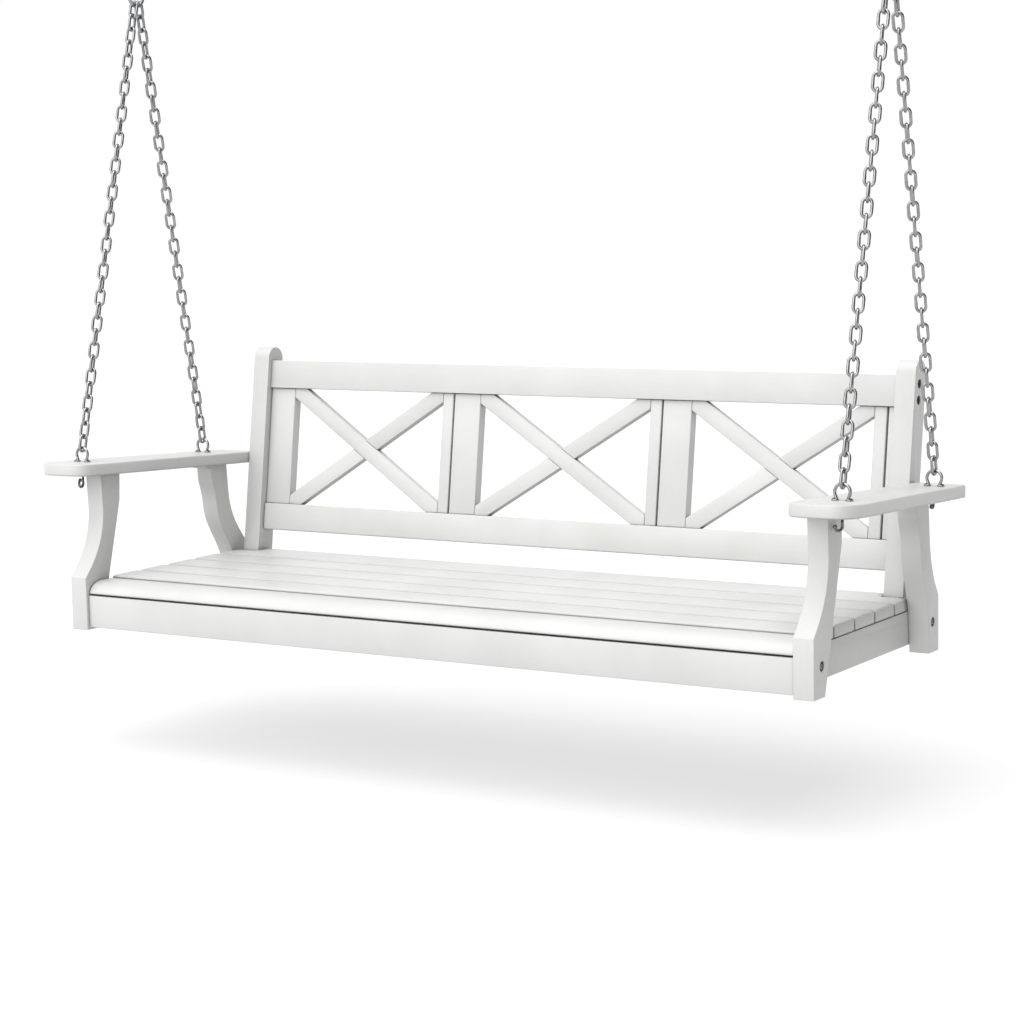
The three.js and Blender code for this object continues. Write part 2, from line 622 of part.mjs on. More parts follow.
// ---- Bolts
// A bolt along X: its head in the counterbore of an outer face at x, its shank running inwards.
function boltGeometry(x, side, y, z, length) {
  const headOut = x - side * (BOLT_BORE[1] - BOLT_HEAD[1] - GAP);
  const headIn = x - side * (BOLT_BORE[1] - GAP);
  const head = solid(rodX(headOut, headIn, y, z, BOLT_HEAD[0]));
  return geometryOf(head.add(solid(rodX(headIn + side, x - side * length, y, z, BOLT))));
}

for (const [word, side] of SIDES) {
  const outer = (side * ARM_SPAN) / 2;
  const front = boltGeometry(outer, side, ...POST_BOLT_FRONT, POST_STOCK + BOARD - 1);
  bench.add(piece("post_bolt_front_" + word, front, DARK));
  const rear = boltGeometry(outer, side, ...POST_BOLT_REAR, POST_STOCK + BOARD - 1);
  bench.add(piece("post_bolt_rear_" + word, rear, DARK));
  RAIL_BOLTS.forEach((height, i) => {
    const x = side * (BACK_POST_INNER + BACK_POST);
    const bolt = boltGeometry(x, side, RAIL_BOLT_DEPTH, height, BACK_POST + RAIL_BOLT_GRIP);
    back.add(piece("rail_bolt_" + (i ? "upper_" : "lower_") + word, bolt, DARK));
  });
}

export default swing;
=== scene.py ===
import json
import math
import random

import bmesh
import bpy
from mathutils import Matrix, Vector


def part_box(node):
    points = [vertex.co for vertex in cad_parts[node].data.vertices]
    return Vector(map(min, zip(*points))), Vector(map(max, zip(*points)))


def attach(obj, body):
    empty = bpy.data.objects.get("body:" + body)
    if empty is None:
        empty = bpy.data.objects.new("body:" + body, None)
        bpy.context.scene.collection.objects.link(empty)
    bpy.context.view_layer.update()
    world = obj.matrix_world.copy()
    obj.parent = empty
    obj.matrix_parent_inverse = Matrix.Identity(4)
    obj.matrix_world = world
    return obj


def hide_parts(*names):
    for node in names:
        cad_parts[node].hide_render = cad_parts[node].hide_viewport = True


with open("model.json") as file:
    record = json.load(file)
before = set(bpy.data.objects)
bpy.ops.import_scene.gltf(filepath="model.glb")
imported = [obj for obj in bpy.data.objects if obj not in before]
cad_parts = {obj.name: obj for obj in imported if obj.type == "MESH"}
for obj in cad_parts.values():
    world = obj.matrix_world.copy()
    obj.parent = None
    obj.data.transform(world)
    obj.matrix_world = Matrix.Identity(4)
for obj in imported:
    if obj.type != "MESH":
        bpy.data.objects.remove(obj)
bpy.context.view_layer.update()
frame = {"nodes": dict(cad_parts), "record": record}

MM = 0.001
SIDES = (("left", -1), ("right", 1))
PLACES = (("front", -1), ("rear", 1))

# ---- Reference points, from the frame
FOOT_FRONT_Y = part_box("arm_post_front_left")[0].y
FOOT_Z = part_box("arm_post_front_left")[0].z
RECLINE = math.atan(0.146)  # lean of the backrest
ARM_DROP = math.atan(0.048)  # fall of the armrests towards the back

# ---- Camera
CAMERA_AZIMUTH = math.radians(32.36)
CAMERA_ELEVATION = math.radians(7.31)
CAMERA_ROLL = math.radians(-1.22)
CAMERA_DISTANCE = 4.598
CAMERA_LENS = 90.06  # millimetres
SENSOR_WIDTH = 36  # millimetres
CAMERA_SIGHT = 200  # how far it sees, in metres
CAMERA_AIM = Vector((0.0151, FOOT_FRONT_Y + 0.3133, FOOT_Z + 0.2211))


def make_camera():
    """The camera, placed round its aim by azimuth and elevation, and then rolled."""
    a, e, r = CAMERA_AZIMUTH, CAMERA_ELEVATION, CAMERA_ROLL
    back = Vector((math.sin(a) * math.cos(e), -math.cos(a) * math.cos(e), math.sin(e)))
    right = Vector((math.cos(a), math.sin(a), 0))
    up = back.cross(right)
    x_axis = right * math.cos(r) + up * math.sin(r)
    y_axis = up * math.cos(r) - right * math.sin(r)
    data = bpy.data.cameras.new("camera")
    data.lens = CAMERA_LENS
    data.sensor_width = SENSOR_WIDTH
    data.clip_end = CAMERA_SIGHT
    camera = bpy.data.objects.new("camera", data)
    turn = Matrix((x_axis, y_axis, back)).transposed().to_4x4()
    camera.matrix_world = Matrix.Translation(CAMERA_AIM + back * CAMERA_DISTANCE) @ turn
    bpy.context.scene.collection.objects.link(camera)
    bpy.context.scene.camera = camera


# ---- Node helpers
class Nodes:
    """A material's or the world's node tree, with short calls to add and join nodes."""

    def __init__(self, tree):
        self.tree = tree
        tree.nodes.clear()

    def add(self, kind, **settings):
        node = self.tree.nodes.new(kind)
        for key, value in settings.items():
            setattr(node, key, value)
        return node

    def join(self, source, target):
        self.tree.links.new(source, target)

    def math(self, operation, first, second):
        node = self.add("ShaderNodeMath", operation=operation)
        for socket, value in zip(node.inputs, (first, second)):
            if isinstance(value, bpy.types.NodeSocket):
                self.join(value, socket)
            else:
                socket.default_value = value
        return node.outputs[0]

    def noise(self, vector, scale, detail=3.0, roughness=0.5, distortion=0.0):
        node = self.add("ShaderNodeTexNoise")
        node.inputs["Scale"].default_value = scale
        node.inputs["Detail"].default_value = detail
        node.inputs["Roughness"].default_value = roughness
        node.inputs["Distortion"].default_value = distortion
        self.join(vector, node.inputs["Vector"])
        return node.outputs["Fac"]

    def ramp(self, value, stops):
        node = self.add("ShaderNodeValToRGB")
        elements = node.color_ramp.elements
        while len(elements) < len(stops):
            elements.new(0.5)
        for element, (place, colour) in zip(elements, stops):
            element.position = place
            element.color = (*colour, 1)
        self.join(value, node.inputs["Fac"])
        return node.outputs["Color"]

    def mix(self, factor, first, second, blend="MIX"):
        node = self.add("ShaderNodeMix", data_type="RGBA", blend_type=blend)
        sockets = node.inputs[0], node.inputs[6], node.inputs[7]
        for socket, value in zip(sockets, (factor, first, second)):
            if isinstance(value, bpy.types.NodeSocket):
                self.join(value, socket)
            else:
                socket.default_value = value
        return node.outputs[2]

    def spread(self, value, low, high):
        node = self.add("ShaderNodeMapRange")
        node.inputs["To Min"].default_value = low
        node.inputs["To Max"].default_value = high
        self.join(value, node.inputs["Value"])
        return node.outputs["Result"]

    def bump(self, height, strength, distance, below=None):
        node = self.add("ShaderNodeBump")
        node.inputs["Strength"].default_value = strength
        node.inputs["Distance"].default_value = distance
        self.join(height, node.inputs["Height"])
        if below is not None:
            self.join(below, node.inputs["Normal"])
        return node.outputs["Normal"]


def new_material(name):
    material = bpy.data.materials.new(name)
    material.use_nodes = True
    nodes = Nodes(material.node_tree)
    shader = nodes.add("ShaderNodeBsdfPrincipled")
    output = nodes.add("ShaderNodeOutputMaterial")
    nodes.join(shader.outputs[0], output.inputs["Surface"])
    return material, nodes, shader


# ---- Materials
NONE, FULL = (0, 0, 0), (1, 1, 1)
PAINT_LIGHT = (0.56, 0.56, 0.548)
PAINT_SHADE = (0.515, 0.515, 0.502)
PAINT_THIN = (0.42, 0.42, 0.406)  # where an edge shows through the last coat
UNDERSIDE_SHADE = (0.62, 0.62, 0.61)  # painted shade on undersides, against the rest
GRAIN_STRETCH = 0.045  # the grain's length along a board is its width divided by this
BRUSH_SCALE, GRAIN_SCALE, CLOUD_SCALE, FLECK_SCALE = 900, 110, 7, 190  # features of the paint, per metre
CLOUD_STOPS = ((0.35, NONE), (0.7, FULL))
STREAK_STOPS = ((0.36, (0.955, 0.955, 0.95)), (0.6, FULL))
DIRT_STOPS = ((0.68, FULL), (0.8, (0.93, 0.925, 0.91)))
# painted shade on undersides, by how far a face looks down
UNDERSIDE_SHADE_STOPS = ((0.08, FULL), (0.8, UNDERSIDE_SHADE))
PAINT_ROUGH = (0.36, 0.52)
CREVICE_SHADE_REACH = 7 * MM  # how near another surface must be to darken a spot: painted shade in crevices and joints
# the tone that the painted shade leaves, by how open a spot's view is
CREVICE_SHADE_FADE = ((0.12, (0.45, 0.44, 0.43)), (0.5, (0.78, 0.775, 0.77)), (0.88, FULL))
SLAT_SHADE_REACH = 16 * MM  # the same painted shade on the seat slats, whose joints are broad grooves
# the tone that the slats' painted shade leaves, darker than elsewhere
SLAT_SHADE_FADE = ((0.12, (0.12, 0.115, 0.11)), (0.8, (0.38, 0.375, 0.37)), (0.98, FULL))


def paint(name, turn=(0, 0, 0), reach=CREVICE_SHADE_REACH, fade=CREVICE_SHADE_FADE):
    """White satin paint brushed along a board: the grain runs along X before it is turned.

    Surfaces nearer than reach close off part of a spot's view, and the colour is darkened there: painted
    shade in crevices and joints.
    fade gives what is left of the tone there, by the open part of the view."""
    material, nodes, shader = new_material(name)
    place = nodes.add("ShaderNodeTexCoord").outputs["Object"]
    turned = nodes.add("ShaderNodeMapping", vector_type="TEXTURE")
    turned.inputs["Rotation"].default_value = turn
    nodes.join(place, turned.inputs["Vector"])
    along = nodes.add("ShaderNodeMapping")
    along.inputs["Scale"].default_value = (GRAIN_STRETCH, 1, 1)
    nodes.join(turned.outputs[0], along.inputs["Vector"])
    brush = nodes.noise(along.outputs[0], BRUSH_SCALE, detail=4, roughness=0.6)
    grain = nodes.noise(along.outputs[0], GRAIN_SCALE, detail=6, roughness=0.55, distortion=0.7)
    cloud = nodes.noise(turned.outputs[0], CLOUD_SCALE, detail=3)
    fleck = nodes.noise(turned.outputs[0], FLECK_SCALE, detail=2)
    tone = nodes.mix(nodes.ramp(cloud, CLOUD_STOPS), (*PAINT_LIGHT, 1), (*PAINT_SHADE, 1))
    tone = nodes.mix(nodes.spread(grain, 0.0, 0.16), tone, (*PAINT_SHADE, 1))
    tone = nodes.mix(0.55, tone, nodes.ramp(brush, STREAK_STOPS), "MULTIPLY")
    tone = nodes.mix(0.6, tone, nodes.ramp(fleck, DIRT_STOPS), "MULTIPLY")
    edge = nodes.add("ShaderNodeAttribute", attribute_name="edge").outputs["Fac"]
    rub = nodes.math("MULTIPLY", edge, nodes.spread(fleck, 0.0, 0.5))
    tone = nodes.mix(rub, tone, (*PAINT_THIN, 1))
    # painted shade: the colour is darkened where other surfaces are near, in crevices and joints
    crevice_shade = nodes.add("ShaderNodeAmbientOcclusion", samples=6)
    crevice_shade.inputs["Distance"].default_value = reach
    tone = nodes.mix(0.95, tone, nodes.ramp(crevice_shade.outputs["AO"], fade), "MULTIPLY")
    # painted shade on undersides: faces that look down are darkened
    facing = nodes.add("ShaderNodeSeparateXYZ")
    nodes.join(nodes.add("ShaderNodeNewGeometry").outputs["Normal"], facing.inputs[0])
    down = nodes.math("MULTIPLY", facing.outputs["Z"], -1.0)
    tone = nodes.mix(1, tone, nodes.ramp(down, UNDERSIDE_SHADE_STOPS), "MULTIPLY")
    nodes.join(tone, shader.inputs["Base Color"])
    nodes.join(nodes.spread(grain, *PAINT_ROUGH), shader.inputs["Roughness"])
    relief = nodes.bump(brush, 0.22, 0.12 * MM)
    relief = nodes.bump(grain, 0.30, 0.35 * MM, relief)
    nodes.join(nodes.bump(fleck, 0.08, 0.2 * MM, relief), shader.inputs["Normal"])
    shader.inputs["Coat Weight"].default_value = 0.12
    shader.inputs["Coat Roughness"].default_value = 0.25
    return material


SPANGLE_SCALE, PATCH_SCALE, GRIT_SCALE = 420, 120, 1500  # features of the zinc, per metre


def metal(name, light, dark, rough, metallic=1.0):
    """Galvanised steel: mottled spangle, fine grit and dull patches."""
    material, nodes, shader = new_material(name)
    place = nodes.add("ShaderNodeTexCoord").outputs["Object"]
    cells = nodes.add("ShaderNodeTexVoronoi")
    cells.inputs["Scale"].default_value = SPANGLE_SCALE
    nodes.join(place, cells.inputs["Vector"])
    patch = nodes.noise(place, PATCH_SCALE, detail=4, roughness=0.6)
    grit = nodes.noise(place, GRIT_SCALE, detail=2)
    tone = nodes.mix(patch, (*dark, 1), (*light, 1))
    spangle = nodes.spread(cells.outputs["Distance"], 1.0, 0.72)
    tone = nodes.mix(0.5, tone, spangle, "MULTIPLY")
    nodes.join(tone, shader.inputs["Base Color"])
    nodes.join(nodes.spread(patch, *rough), shader.inputs["Roughness"])
    relief = nodes.bump(grit, 0.25, 0.08 * MM)
    nodes.join(nodes.bump(patch, 0.3, 0.25 * MM, relief), shader.inputs["Normal"])
    shader.inputs["Metallic"].default_value = metallic
    return material


# ---- Mesh helpers
def smooth(mesh, degrees=40):
    """Smooth shading, with sharp edges where faces meet at more than an angle."""
    mesh.polygons.foreach_set("use_smooth", [True] * len(mesh.polygons))
    mesh.set_sharp_from_angle(angle=math.radians(degrees))


def add_piece(name, mesh, material, body, slot, *nodes):
    """A mesh as a piece of the swing: it rides on a body and stands for the CAD nodes."""
    obj = bpy.data.objects.new(name, mesh)
    bpy.context.scene.collection.objects.link(obj)
    mesh.materials.clear()
    mesh.materials.append(material)
    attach(obj, body)
    if nodes:
        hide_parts(*nodes)


def from_bmesh(name, bm, *rest):
    """A piece from a bmesh, whose faces are turned outwards and smoothed. rest goes to add_piece."""
    mesh = bpy.data.meshes.new(name)
    bmesh.ops.recalc_face_normals(bm, faces=bm.faces)
    bm.to_mesh(mesh)
    bm.free()
    smooth(mesh)
    add_piece(name, mesh, *rest)


CAP_ANGLES = (0.5, 1.0, 1.35)  # where the rings of a round wire end lie, in radians


def tube(bm, points, radius, sides=12, closed=False):
    """Round wire along points. radius is one number, or one for each point. Open ends are rounded."""
    count = len(points)
    radii = list(radius) if hasattr(radius, "__len__") else [radius] * count
    heading = []
    for i, p in enumerate(points):
        before = points[(i - 1) % count] if closed or i else p
        after = points[(i + 1) % count] if closed or i < count - 1 else p
        heading.append((after - before).normalized())
    across = heading[0].orthogonal().normalized()
    frames = []
    for h in heading:
        across = (across - h * across.dot(h)).normalized()
        frames.append((across.copy(), h.cross(across)))
    stations = list(zip(points, radii, frames))
    if not closed:
        for end in (0, -1):
            p, r, f = stations[end]
            out = heading[end] * (1 if end else -1)
            caps = [(p + out * r * math.sin(t), r * math.cos(t), f) for t in CAP_ANGLES]
            stations = caps[::-1] + stations if end == 0 else stations + caps
    rings = []
    for p, r, (u, v) in stations:
        turns = [2 * math.pi * s / sides for s in range(sides)]
        rings.append([bm.verts.new(p + (u * math.cos(t) + v * math.sin(t)) * r) for t in turns])
    pairs = list(zip(rings, rings[1:])) + ([(rings[-1], rings[0])] if closed else [])
    for low, high in pairs:
        for s in range(sides):
            bm.faces.new((low[s], low[(s + 1) % sides], high[(s + 1) % sides], high[s]))
    if not closed:
        bm.faces.new(rings[0][::-1])
        bm.faces.new(rings[-1])


def lathe(bm, profile, place, segments=24):
    """Revolves a profile of (radius, height) round place's Z axis.

    A radius may be a function of the angle."""
    rings = []
    for radius, height in profile:
        ring = []
        for s in range(segments):
            t = 2 * math.pi * s / segments
            r = radius(t) if callable(radius) else radius
            ring.append(bm.verts.new(place @ Vector((r * math.cos(t), r * math.sin(t), height))))
        rings.append(ring)
    for low, high in zip(rings, rings[1:]):
        for s in range(segments):
            bm.faces.new((low[s], low[(s + 1) % segments], high[(s + 1) % segments], high[s]))
    bm.faces.new(rings[0][::-1])
    bm.faces.new(rings[-1])


PLATE_EDGE = 0.12  # a plate's edge rounding against its thickness


def plate(bm, length, width, thick, corner, holes, hole_radius, place):
    """A flat plate with round corners, and screw holes on its long axis. Its underside is place's z = 0."""
    curve = bpy.data.curves.new("plate", "CURVE")
    curve.dimensions = "2D"
    curve.fill_mode = "BOTH"
    edge = PLATE_EDGE * thick
    curve.extrude = thick / 2 - edge
    curve.bevel_depth = edge
    curve.bevel_resolution = 1

    def outline(points):
        spline = curve.splines.new("POLY")
        spline.points.add(len(points) - 1)
        for point, (x, y) in zip(spline.points, points):
            point.co = (x, y, 0, 1)
        spline.use_cyclic_u = True

    x0, y0 = length / 2 - edge - corner, width / 2 - edge - corner
    rim = []
    for quarter, (sx, sy) in enumerate(((1, 1), (-1, 1), (-1, -1), (1, -1))):
        for step in range(6):
            t = (quarter + step / 5) * math.pi / 2
            rim.append((sx * x0 + corner * math.cos(t), sy * y0 + corner * math.sin(t)))
    outline(rim)
    turns = [2 * math.pi * s / 20 for s in range(20)]
    reach = hole_radius + edge
    for x in holes:
        outline([(x + reach * math.cos(t), reach * math.sin(t)) for t in turns])
    holder = bpy.data.objects.new("plate", curve)
    made = holder.to_mesh()
    made.transform(place @ Matrix.Translation((0, 0, thick / 2)))
    bm.from_mesh(made)
    holder.to_mesh_clear()
    bpy.data.objects.remove(holder)


# ---- Painted boards
# radius of the eased edges, in millimetres, by the start of a node's name
EASE = {
    "nose_slat": 3.6, "armrest": 5.5, "arm_post": 2.8, "back_post": 3.0, "brace": 1.2,
    "front_apron": 3.0, "side_apron": 2.2, "top_rail": 2.4, "lower_rail": 2.4,
}
EASE_ELSEWHERE = 1.6
EASE_FROM = math.radians(28)  # the least angle between faces that is eased


def mark_edges(mesh, width):
    """An attribute that is 1 on the narrow faces of the eased edges, for the paint's wear."""
    edge = mesh.attributes.new("edge", "FLOAT", "CORNER")
    for face in mesh.polygons:
        corners = [mesh.vertices[v].co for v in face.vertices]
        sides = [(a - b).length for a, b in zip(corners, corners[1:] + corners[:1])]
        if min(sides) < width:
            for loop in face.loop_indices:
                edge.data[loop].value = 1.0


def board(node, material):
    """A CAD board with its flat faces rejoined and its edges eased."""
    bm = bmesh.new()
    bm.from_mesh(frame["nodes"][node].data)
    bmesh.ops.remove_doubles(bm, verts=bm.verts, dist=0.005 * MM)
    bmesh.ops.dissolve_limit(bm, angle_limit=math.radians(0.5), verts=bm.verts, edges=bm.edges)
    mesh = bpy.data.meshes.new(node)
    bm.to_mesh(mesh)
    bm.free()
    radius = next((r for key, r in EASE.items() if node.startswith(key)), EASE_ELSEWHERE) * MM
    holder = bpy.data.objects.new("easing", mesh)
    bpy.context.scene.collection.objects.link(holder)
    easing = holder.modifiers.new("easing", "BEVEL")
    easing.width = radius
    easing.segments = 3
    easing.limit_method = "ANGLE"
    easing.angle_limit = EASE_FROM
    easing.use_clamp_overlap = True
    bpy.context.view_layer.update()
    depsgraph = bpy.context.evaluated_depsgraph_get()
    eased = bpy.data.meshes.new_from_object(holder.evaluated_get(depsgraph))
    bpy.data.objects.remove(holder)
    eased.name = node
    mark_edges(eased, radius * 0.8)
    smooth(eased, 35)
    add_piece(node + "_board", eased, material, "bench", "painted_wood", node)


SLAT_CROWN = (11 * MM, 4.5 * MM)  # the rounding of a slat's upper edges, across and down
SLAT_ARRIS = 2.5 * MM  # the rounding of its lower edges
SLAT_END = 3 * MM  # the rounding of its ends
NOTCH_Y = FOOT_FRONT_Y + 451 * MM  # front of the last slat's notches
NOTCH_ROUND = ((0.02, 2.2), (0.6, 0.7), (2, 0))  # the rounding beside a notch: inwards, and short of the back


def slat(node, material):
    """A seat slat: flat on top, with broad soft edges and eased ends.

    The last is notched round the back posts."""
    low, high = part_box(node)
    tall = (high.z - low.z) / 2

    def section(back, inset):
        """A ring in (y, z) from the front edge to back, drawn in by inset."""
        wide = (back - low.y) / 2
        points = []
        for quarter in range(4):
            across, down = SLAT_CROWN if quarter < 2 else (SLAT_ARRIS, SLAT_ARRIS)
            way = (1, -1, -1, 1)[quarter], (1, 1, -1, -1)[quarter]
            for step in range(7):
                t = (quarter + step / 6) * math.pi / 2
                y = way[0] * (wide - across) + across * math.cos(t)
                z = way[1] * (tall - down) + down * math.sin(t)
                y *= 1 - inset / wide
                z *= 1 - inset / tall
                points.append((low.y + wide + y, low.z + tall + z))
        return points

    notched = high.y > NOTCH_Y
    stations = []
    for t in (0, 0.5, 1.0, math.pi / 2):
        back = NOTCH_Y if notched else high.y
        x = high.x - SLAT_END * (1 - math.sin(t))
        stations.append((x, section(back, SLAT_END * (1 - math.cos(t)))))
    if notched:
        notch_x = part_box("top_rail")[1].x
        stations.append((notch_x, section(NOTCH_Y, 0)))
        for inwards, short in NOTCH_ROUND:
            stations.append((notch_x - inwards * MM, section(high.y - short * MM, 0)))
    stations += [(-x, points) for x, points in stations]
    bm = bmesh.new()
    rings = []
    for x, points in sorted(stations, key=lambda station: station[0]):
        rings.append([bm.verts.new((x, y, z)) for y, z in points])
    count = len(rings[0])
    for before, after in zip(rings, rings[1:]):
        for i in range(count):
            bm.faces.new((before[i], before[(i + 1) % count], after[(i + 1) % count], after[i]))
    bm.faces.new(rings[0])
    bm.faces.new(rings[-1][::-1])
    bmesh.ops.recalc_face_normals(bm, faces=bm.faces)
    mesh = bpy.data.meshes.new(node)
    bm.to_mesh(mesh)
    bm.free()
    mark_edges(mesh, 1.2 * MM)
    smooth(mesh, 50)
    add_piece(node + "_board", mesh, material, "bench", "painted_wood", node)


# which way a board's grain runs, by the start of a node's name, and along X elsewhere
GRAIN = {
    "seat_slat": "slat", "armrest": "y", "side_apron": "y", "seat_bearer": "y", "arm_post": "z",
    "back_post": "back", "wide_stile": "back", "narrow_stile": "back", "end_strip": "back",
    "brace_rising": "rising", "brace_falling": "falling",
}


def make_boards():
    """Every timber piece, with the paint's grain along it."""
    materials = {
        "x": paint("paint_along_x"),
        # the slats' paint carries deeper painted shade in their joints
        "slat": paint("paint_slats", reach=SLAT_SHADE_REACH, fade=SLAT_SHADE_FADE),
        "y": paint("paint_along_y", (0, 0, math.pi / 2)),
        "z": paint("paint_upright", (0, math.pi / 2, 0)),
        "back": paint("paint_back_upright", (-RECLINE, math.pi / 2, 0)),
    }
    low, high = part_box("brace_rising_1")
    slope = math.atan2(high.z - low.z, high.x - low.x)
    materials["rising"] = paint("paint_rising", (0, -slope, 0))
    materials["falling"] = paint("paint_falling", (0, slope, 0))
    for entry in frame["record"]["subparts"]:
        node = entry["node"]
        if entry["material_slot"] == "painted_wood":
            way = next((way for key, way in GRAIN.items() if node.startswith(key)), "x")
            make = slat if node.startswith("seat_slat") else board
            make(node, materials[way])


# ---- Hardware
WIRE = 5.5 * MM
LINK_COUNT = 34
LINK_WIDTH = 21 * MM
LINK_TWIST = math.radians(27)  # how far a chain is twisted away from its ends
TWIST_LINKS = 7  # how many links it takes to get there
LINK_STRAY = 7  # how far a link hangs off its place, in degrees
LINK_WELD = 1.07  # how much thicker the wire is at the weld
BOW_CLEARANCE = 7.3 * MM  # from a bow's crown down to where the chain bears
BOW_ROUND = 13.25 * MM  # radius of its middle line
BOW_TURN = math.pi + 0.8  # how far the wire turns over the crown
BOW_NECK = 10 * MM  # from its middle out to where the wire stands on a foot
BOW_NECK_TOP = 3.4 * MM
BOW_FOOT = (12 * MM, 11 * MM, 2.5 * MM)
BOW_FOOT_ROUND = 4 * MM
BOW_FOOT_OUT = BOW_NECK + 2 * MM  # the middle of a foot
BOW_SCREW_OUT = BOW_NECK + 4.9 * MM
BOW_SCREW = (2.3 * MM, 1.5 * MM)  # radius and height of its head
BOW_FORWARD = 0.7 * MM  # its feet stand this much in front of the middle of its box, as it leans
RING_WIRE = 7 * MM
CHAIN_APART = 11 * MM  # between the top links of a pair
HOOK_WIRE = 8 * MM
HOOK_RADIUS = 15 * MM
HOOK_CURL = math.pi * 1.06  # how far it curls
HOOK_PLATE = 5 * MM  # thickness
HOOK_PLATE_ROUND = 6 * MM
HOOK_SCREWS = (-32 * MM, 32 * MM)
HOOK_SCREW_HOLE = 3 * MM  # radius


def link_points(width, height, wire, arc=8):
    """The middle line of a chain link, in XZ."""
    radius = (width - wire) / 2
    reach = (height - wire) / 2 - radius
    points = []
    for end in (1, -1):
        for i in range(arc + 1):
            t = math.pi * i / arc
            points.append(Vector((radius * math.cos(t) * end, 0, (reach + radius * math.sin(t)) * end)))
        points.append(Vector((-radius * end, 0, reach * 0.3 * end)))
        points.append(Vector((-radius * end, 0, -reach * 0.3 * end)))
    return points


def chain_ends(place, way, word):
    """Where a chain bears on its bow and on its hanging ring."""
    bow_low, bow_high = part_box(f"chain_bow_{place}_{word}")
    ring_low, ring_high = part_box("hanging_ring_" + word)
    middle = (bow_low + bow_high) / 2
    crown = (bow_high.z - bow_low.z - WIRE / 2) * math.sin(ARM_DROP) / 2
    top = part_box(f"chain_{place}_{word}")[1].z
    low = Vector((middle.x, middle.y + crown, bow_high.z - BOW_CLEARANCE))
    high = Vector((middle.x, (ring_low.y + ring_high.y) / 2 + way * CHAIN_APART / 2, top - WIRE))
    return low, high


def make_chain(place, way, word, material):
    """A chain of welded links, each turned a quarter from the last, and twisted away from its ends."""
    low, high = chain_ends(place, way, word)
    pitch = (high - low).length / LINK_COUNT
    shape = link_points(LINK_WIDTH, pitch + 2 * WIRE, WIRE)
    weld = len(shape) // 2 - 1
    radii = [WIRE / 2 * (LINK_WELD if i in (weld, weld + 1) else 1) for i in range(len(shape))]
    shake = random.Random(f"{place} {word}")
    lean = Matrix.Rotation(-math.atan2(high.y - low.y, high.z - low.z), 4, "X")
    bm = bmesh.new()
    for i in range(LINK_COUNT):
        slack = min(i, LINK_COUNT - 1 - i) / TWIST_LINKS
        stray = math.radians(shake.uniform(-LINK_STRAY, LINK_STRAY))
        twist = LINK_TWIST * min(1, slack) + stray * min(1, slack + 0.2)
        spin = Matrix.Rotation((0 if i % 2 else math.pi / 2) + twist, 4, "Z")
        lift = Matrix.Translation((0, 0, (i + 0.5) * pitch))
        whole = Matrix.Translation(low) @ lean @ lift @ spin
        tube(bm, [whole @ p for p in shape], radii, 10, closed=True)
    node = f"chain_{place}_{word}"
    from_bmesh(node + "_links", bm, material, "chains_" + word, "zinc", node)


def make_ring(word, material):
    """The long ring that hangs on the ceiling hook and carries a pair of chains."""
    low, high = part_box("hanging_ring_" + word)
    place = Matrix.Translation((low + high) / 2) @ Matrix.Rotation(math.pi / 2, 4, "Z")
    points = [place @ p for p in link_points(high.y - low.y, high.z - low.z, RING_WIRE, 14)]
    bm = bmesh.new()
    tube(bm, points, RING_WIRE / 2, 16, closed=True)
    name = "hanging_ring_" + word
    from_bmesh(name + "_wire", bm, material, "rings", "zinc", name)


def make_ceiling_hook(word, material):
    """An open hook with a weld collar, under a plate with two screw holes."""
    low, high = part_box("ceiling_hook_" + word)
    x = (low.x + high.x) / 2
    under = high.z - HOOK_PLATE
    bm = bmesh.new()
    seat = Matrix.Translation((x, 0, under))
    length, width = high.x - low.x, high.y - low.y
    plate(bm, length, width, HOOK_PLATE, HOOK_PLATE_ROUND, HOOK_SCREWS, HOOK_SCREW_HOLE, seat)
    middle = Vector((x, 0, low.z + HOOK_WIRE / 2 + HOOK_RADIUS))
    points = [Vector((x + HOOK_RADIUS, 0, under)), middle + Vector((HOOK_RADIUS, 0, 6 * MM))]
    for i in range(19):
        t = -HOOK_CURL * i / 18
        points.append(middle + Vector((math.cos(t), 0, math.sin(t))) * HOOK_RADIUS)
    tube(bm, points, HOOK_WIRE / 2, 16)
    collar = Matrix.Translation((x + HOOK_RADIUS, 0, under)) @ Matrix.Rotation(math.pi, 4, "X")
    profile = (7.5 * MM, -1 * MM), (7.3 * MM, 1 * MM), (5.6 * MM, 2.6 * MM), (4.2 * MM, 4 * MM)
    lathe(bm, profile, collar)
    name = "ceiling_hook_" + word
    from_bmesh(name + "_steel", bm, material, "hangers", "zinc", name)


def screw_head(bm, place, radius, height):
    """A pan head with a small drive recess."""
    dimple = radius * 0.35
    profile = (
        (radius, 0), (radius, height * 0.35), (radius * 0.85, height * 0.75), (radius * 0.55, height),
        (dimple, height), (dimple * 0.6, height * 0.45),
    )
    lathe(bm, profile, place, 18)


